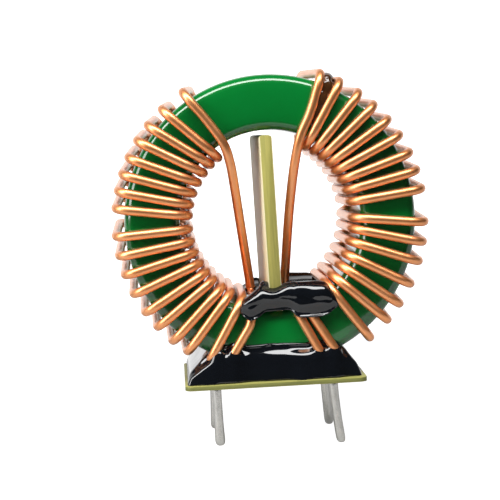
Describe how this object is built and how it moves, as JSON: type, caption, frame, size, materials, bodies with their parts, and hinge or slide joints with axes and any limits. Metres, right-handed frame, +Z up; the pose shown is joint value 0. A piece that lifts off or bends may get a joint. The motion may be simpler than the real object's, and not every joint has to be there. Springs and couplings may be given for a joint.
{
  "type": "common mode choke",
  "caption": "Toroidal common mode choke with hand-laid wire windings on a coated ferrite ring, standing on edge on a laminate base plate with tinned wire ends as pins.",
  "frame": {"origin": "centre of the base plate's underside, where the circuit board meets it", "axes": "+Z up, away from the board; the ring's axis along Y, with the front face at -Y; left and right windings at -X and +X"},
  "size_m": [0.0404, 0.0206, 0.0484],
  "materials": {
    "core_coating": "thick green powder coating, satin",
    "enamelled_wire": "copper wire in clear enamel, glossy, its ends tinned",
    "laminate": "bare glass fibre laminate, sawn edges",
    "black_glue": "poured black epoxy, glossy"
  },
  "bodies": {
    "root": {"core": "core_coating", "left_winding": "enamelled_wire", "right_winding": "enamelled_wire", "divider": "laminate", "base_plate": "laminate", "inner_glue": "black_glue", "base_glue": "black_glue"}
  },
  "joints": []
}
